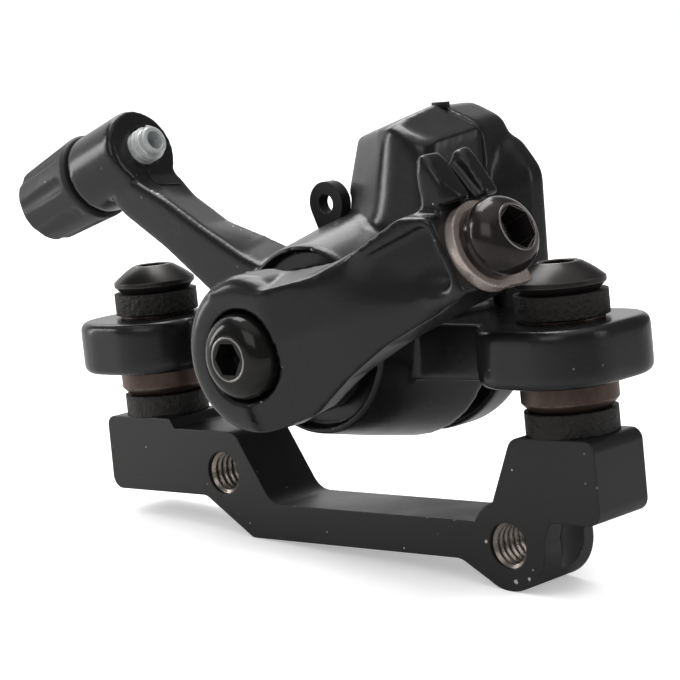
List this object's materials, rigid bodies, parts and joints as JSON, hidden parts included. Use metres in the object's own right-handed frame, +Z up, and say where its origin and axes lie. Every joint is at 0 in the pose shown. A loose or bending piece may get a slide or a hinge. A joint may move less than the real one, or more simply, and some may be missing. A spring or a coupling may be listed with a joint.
{
  "type": "mechanical disc brake caliper",
  "caption": "Cable-pull disc brake caliper with swinging lever, ball-ramp cam, cable adjuster and round pads on a bolt-on frame adapter.",
  "frame": {"origin": "outboard mouth of the lower threaded frame hole in the adapter plate", "axes": "+X from the left mount post to the right one, +Y inboard towards the wheel along the pivot, +Z up along the mount bolts"},
  "size_m": [0.1, 0.0518, 0.0638],
  "materials": {
    "black_casting": "satin",
    "black_plate": "satin",
    "black_oxide_steel": "glossy black oxide",
    "sintered_black": "grainy",
    "brown_washer": "brownish satin",
    "zinc": "bright zinc",
    "bare_steel": "ground",
    "bronze": "plain bearing bronze",
    "pad_lining": "rough friction lining",
    "black_plastic": "matt"
  },
  "bodies": {
    "caliper": {"adapter_bracket": "black_plate", "lower_cup_washers": "sintered_black", "lower_cone_washers": "brown_washer", "upper_cone_washers": "brown_washer", "upper_cup_washers": "sintered_black", "mount_bolts": "black_oxide_steel", "outer_body": "black_casting", "inner_body": "black_casting", "body_bolts": "black_oxide_steel", "shaft_bush": "bronze", "thrust_washer": "bronze"},
    "lever": {"lever_arm": "black_casting", "lever_bolt": "black_oxide_steel", "cam_shaft": "bare_steel", "cam_balls": "bare_steel", "clamp_washer": "brown_washer", "clamp_bolt": "black_oxide_steel"},
    "outer_pad": {"pressure_foot": "bare_steel", "outer_pad_plate": "black_plate", "outer_pad_lining": "pad_lining"},
    "inner_dial": {"inner_dial": "black_plastic"},
    "inner_pad": {"inner_spindle": "bare_steel", "inner_pad_plate": "black_plate", "inner_pad_lining": "pad_lining"},
    "adjuster_travel": {"knob_washer": "black_plastic"},
    "adjuster": {"adjuster_barrel": "zinc", "adjuster_knob": "black_plastic"}
  },
  "joints": [
    {"name": "lever_swing", "type": "hinge", "parent": "caliper", "child": "lever", "pos_m": [-0.02645, -0.01, 0.0267], "axis": [0, -1, 0], "range_deg": [0, 28], "stiffness_Nm_per_rad": 0.1, "springref_deg": -57.3},
    {"name": "outer_pad_slide", "type": "slide", "parent": "caliper", "child": "outer_pad", "axis": [0, 1, 0], "range_m": [0, 0.0006]},
    {"name": "inner_dial_turn", "type": "hinge", "parent": "caliper", "child": "inner_dial", "pos_m": [-0.02645, 0.029, 0.0267], "axis": [0, 1, 0], "range_deg": [0, 720]},
    {"name": "inner_pad_slide", "type": "slide", "parent": "caliper", "child": "inner_pad", "axis": [0, -1, 0], "range_m": [0, 0.002]},
    {"name": "adjuster_slide", "type": "slide", "parent": "caliper", "child": "adjuster_travel", "axis": [-0.9426, 0, -0.3338], "range_m": [0, 0.0048]},
    {"name": "adjuster_turn", "type": "hinge", "parent": "adjuster_travel", "child": "adjuster", "pos_m": [-0.05895, -0.0004, 0.0528], "axis": [-0.9426, 0, -0.3338], "range_deg": [0, 2160]}
  ],
  "couplings": [
    {"joint": "outer_pad_slide", "follows": "lever_swing", "m_per_rad": 0.0011903},
    {"joint": "inner_dial_turn", "follows": "inner_pad_slide", "rad_per_m": 6283.1},
    {"joint": "adjuster_turn", "follows": "adjuster_slide", "rad_per_m": 7853.9}
  ]
}
